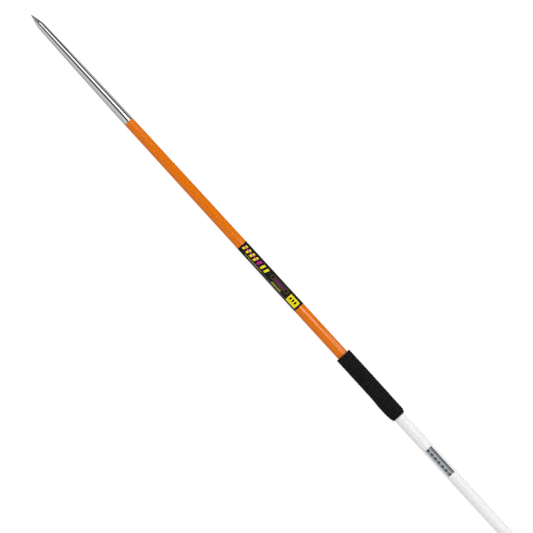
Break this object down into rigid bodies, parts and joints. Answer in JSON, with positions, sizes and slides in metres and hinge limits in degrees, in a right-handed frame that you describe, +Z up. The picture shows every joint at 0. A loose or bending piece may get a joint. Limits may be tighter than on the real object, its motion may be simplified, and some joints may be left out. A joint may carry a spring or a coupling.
{
  "type": "javelin",
  "caption": "Throwing javelin with a tapered steel head, orange and white aluminium shaft, cord grip, printed wrap, foil patch and tail plug.",
  "frame": {"origin": "on the flat under the cord grip, half way along the grip, where the javelin rests on a floor", "axes": "+X along the javelin towards the tail, the point is towards -X, +Z up from the floor, the print faces up and towards -Y"},
  "size_m": [2.05, 0.0278, 0.0276],
  "materials": {
    "polished_steel": "turned and polished steel, mirror-like with fine rings round it",
    "plain_steel": "plain turned steel, dull",
    "orange_enamel": "gloss orange enamel on drawn aluminium tube",
    "white_enamel": "satin white enamel on drawn aluminium tube",
    "bare_aluminium": "bare drawn aluminium",
    "printed_film": "black vinyl film printed with plain slanted bars and blocks",
    "foil_film": "holographic foil film, grey-violet to teal",
    "black_plastic": "moulded black plastic with a fine matt grain",
    "cloth_tape": "dark adhesive cloth tape",
    "black_cord": "braided black whipcord, wound tight"
  },
  "bodies": {
    "root": {"point": "polished_steel", "head_shell": "polished_steel", "balance_slug": "plain_steel", "shaft_front": "orange_enamel", "shaft_rear": "white_enamel", "joint_sleeve": "bare_aluminium", "label_wrap": "printed_film", "foil_sticker": "foil_film", "tail_plug": "black_plastic", "grip_tape": "cloth_tape", "grip_cord": "black_cord"}
  },
  "joints": []
}
